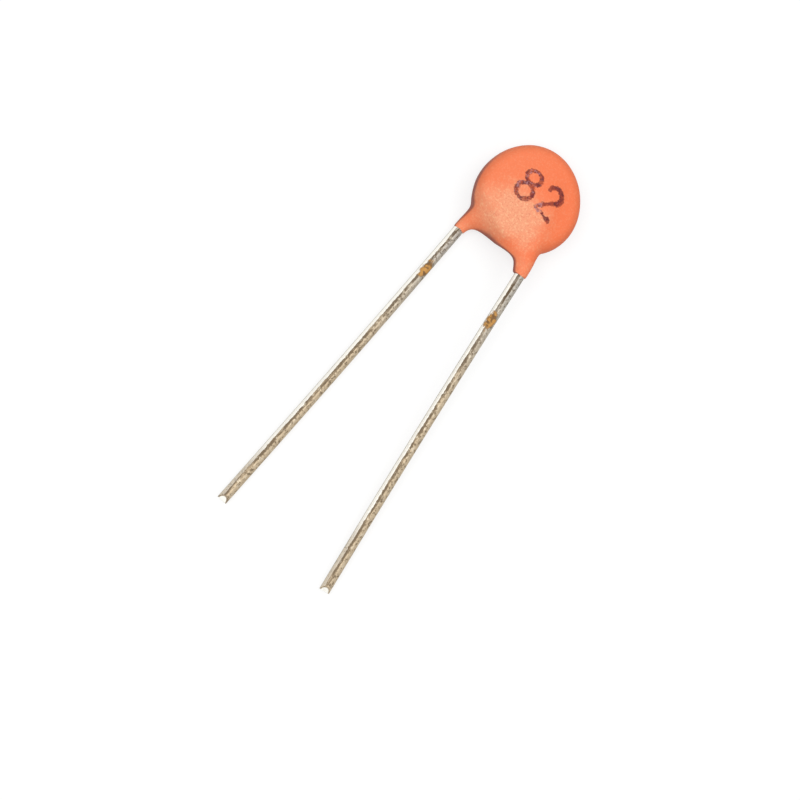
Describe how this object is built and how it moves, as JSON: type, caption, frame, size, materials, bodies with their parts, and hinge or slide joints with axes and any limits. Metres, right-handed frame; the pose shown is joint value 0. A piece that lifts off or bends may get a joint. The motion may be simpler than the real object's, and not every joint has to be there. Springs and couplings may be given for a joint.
{
  "type": "ceramic disc capacitor",
  "caption": "Round ceramic disc capacitor in a dipped orange resin coat, with straight tinned wire leads that come out through short flared legs and spread towards their tips.",
  "frame": {"origin": "under the middle of the whole part, on the surface that it lies on", "axes": "+Z out of the marked front face, +Y from the lead tips to the top of the disc, +X across the leads, from the rear lead to the front lead"},
  "size_m": [0.0066, 0.0224, 0.002],
  "materials": {
    "ceramic": "fired ceramic, matte",
    "silver": "fired silver, satin",
    "solder": "solder, satin",
    "tinned_wire": "tinned wire, aged and slightly streaked",
    "resin": "dipped phenolic resin, satin with a fine grain"
  },
  "bodies": {
    "root": {"ceramic_disc": "ceramic", "front_electrode": "silver", "rear_electrode": "silver", "front_solder": "solder", "rear_solder": "solder", "left_lead": "tinned_wire", "right_lead": "tinned_wire", "resin_coat": "resin"}
  },
  "joints": []
}
